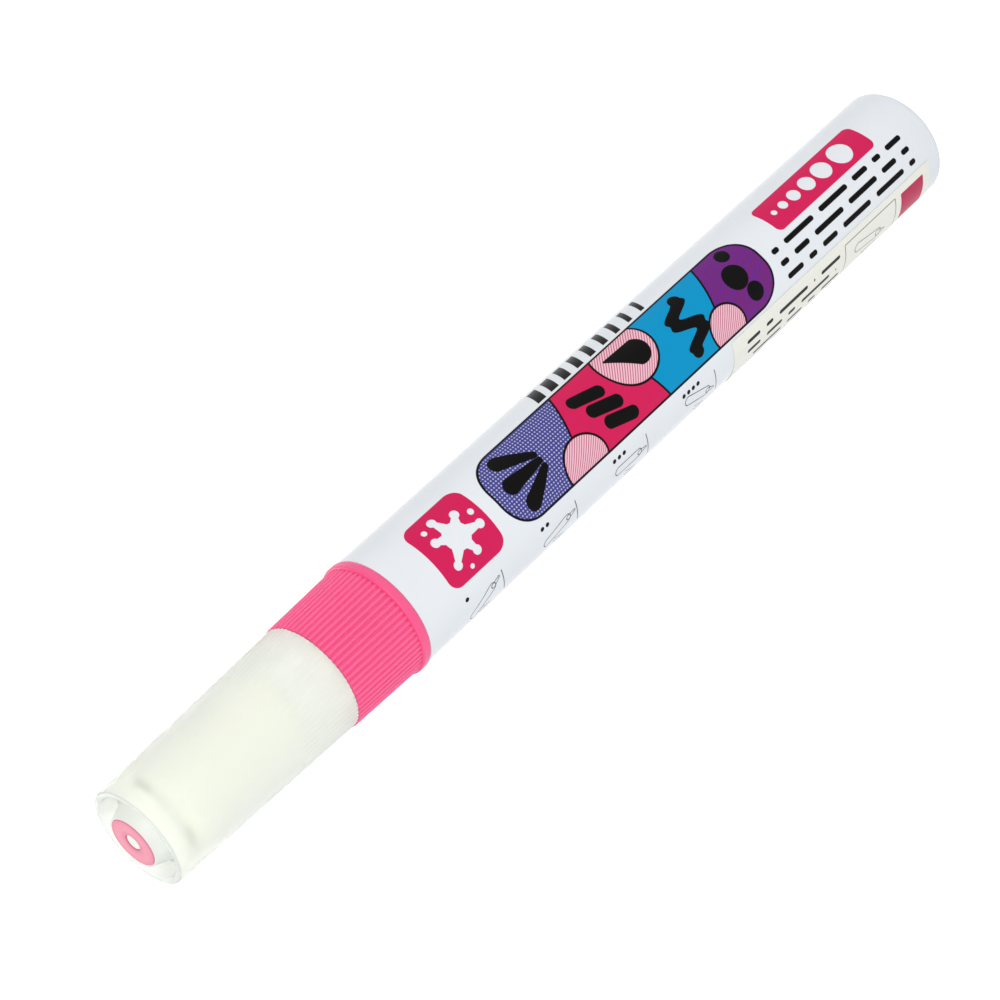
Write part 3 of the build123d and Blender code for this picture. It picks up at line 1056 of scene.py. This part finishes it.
# %% Camera
camera_focal_px = 2969.0
picture_px = 1000
sensor_width = 36.0
nearest_seen = 0.01
camera_tilt = radians(29.887)
camera_roll = radians(-132.614)
camera_reach = 341.35
camera_target = Vector((0.3975, 0, 78.639))

back = Vector((0, -cos(camera_tilt), sin(camera_tilt)))
level = Vector((1, 0, 0))
upright = Vector((0, sin(camera_tilt), cos(camera_tilt)))
right = level * cos(camera_roll) + upright * sin(camera_roll)
up = upright * cos(camera_roll) - level * sin(camera_roll)
camera = add_object("camera", bpy.data.cameras.new("camera"))
camera.data.sensor_width = sensor_width
camera.data.lens = camera_focal_px / picture_px * sensor_width
camera.data.clip_start = nearest_seen
camera.matrix_world = Matrix((right, up, back)).transposed().to_4x4()
camera.location = (camera_target + back * camera_reach) * MM
bpy.context.scene.camera = camera
print("lens", round(camera.data.lens, 2), "mm")

# %% [markdown]
# ## Floor
#
# The marker stands on a plain white floor. Stronger lamps could make the floor white, but they
# would wash out the white lacquer. So the floor adds a little light of its own where the camera
# sees it, straight or in gloss and clear plastic, and it still takes the shadow.

# %% Floor
floor_half = 3.0
floor_corners = ((-1, -1), (1, -1), (1, 1), (-1, 1))
floor_shade = 0.8
floor_glow = 0.55


def grey(light):
    """Grey that is this share of full light."""
    return (light, light, light, 1.0)


def shown_to_camera(tree):
    """Mask of the rays by which a thing is seen, straight or in gloss and clear plastic."""
    rays = ("Is Camera Ray", "Is Glossy Ray", "Is Transmission Ray")
    return reduce(or_, (Wire(tree).node("ShaderNodeLightPath", output=ray) for ray in rays))


paper = bpy.data.materials.new("floor_paper")
paper.use_nodes = True
paper_glow = tint(shown_to_camera(paper.node_tree), grey(0.0), grey(floor_glow))
paper_sockets = {
    "Base Color": grey(floor_shade),
    "Roughness": 0.9,
    "Specular IOR Level": 0.0,
    "Emission Color": paper_glow,
    "Emission Strength": 1.0,
}
for socket, value in paper_sockets.items():
    plug(value, paper.node_tree.nodes["Principled BSDF"].inputs[socket])

floor_mesh = bpy.data.meshes.new("floor")
floor_points = [(floor_half * x, floor_half * y, 0) for x, y in floor_corners]
floor_mesh.from_pydata(floor_points, [], [range(len(floor_points))])
floor_mesh.materials.append(paper)
floor = add_object("floor", floor_mesh)
print("floor", 2 * floor_half, "m wide")

# %% [markdown]
# ## Light
#
# Soft studio light comes from three large lamps: a key light before the marker, a cool and
# weaker one at its side, and one behind it that shines into the cap. Small lamps would put hard
# streaks on the lacquer. The world fills in from all round, and shows as white where it is seen.

# %% Light
surround_light = 0.62


def softbox(name, place, size, power, colour=(1.0, 1.0, 1.0)):
    """Square soft lamp at a place in metres, turned to where the camera looks."""
    lamp = bpy.data.lights.new(name, "AREA")
    lamp.size = size
    lamp.energy = power
    lamp.color = colour
    made = add_object(name, lamp)
    aim = camera_target * MM - Vector(place)
    made.location = place
    made.rotation_euler = aim.to_track_quat("-Z", "Y").to_euler()


softbox("key_light", place=(0.15, -1.2, 0.9), size=1.0, power=9.9)
softbox("side_light", place=(-1.1, 0.1, 0.8), size=0.9, power=3.6, colour=(0.88, 0.93, 1.0))
softbox("back_light", place=(0.5, 1.2, 0.9), size=1.0, power=8.5)

world = bpy.data.worlds.new("studio")
world.use_nodes = True
surround = tint(shown_to_camera(world.node_tree), grey(surround_light), grey(1.0))
plug(surround, world.node_tree.nodes["Background"].inputs["Color"])
bpy.context.scene.world = world
bpy.context.scene.view_settings.view_transform = "Standard"
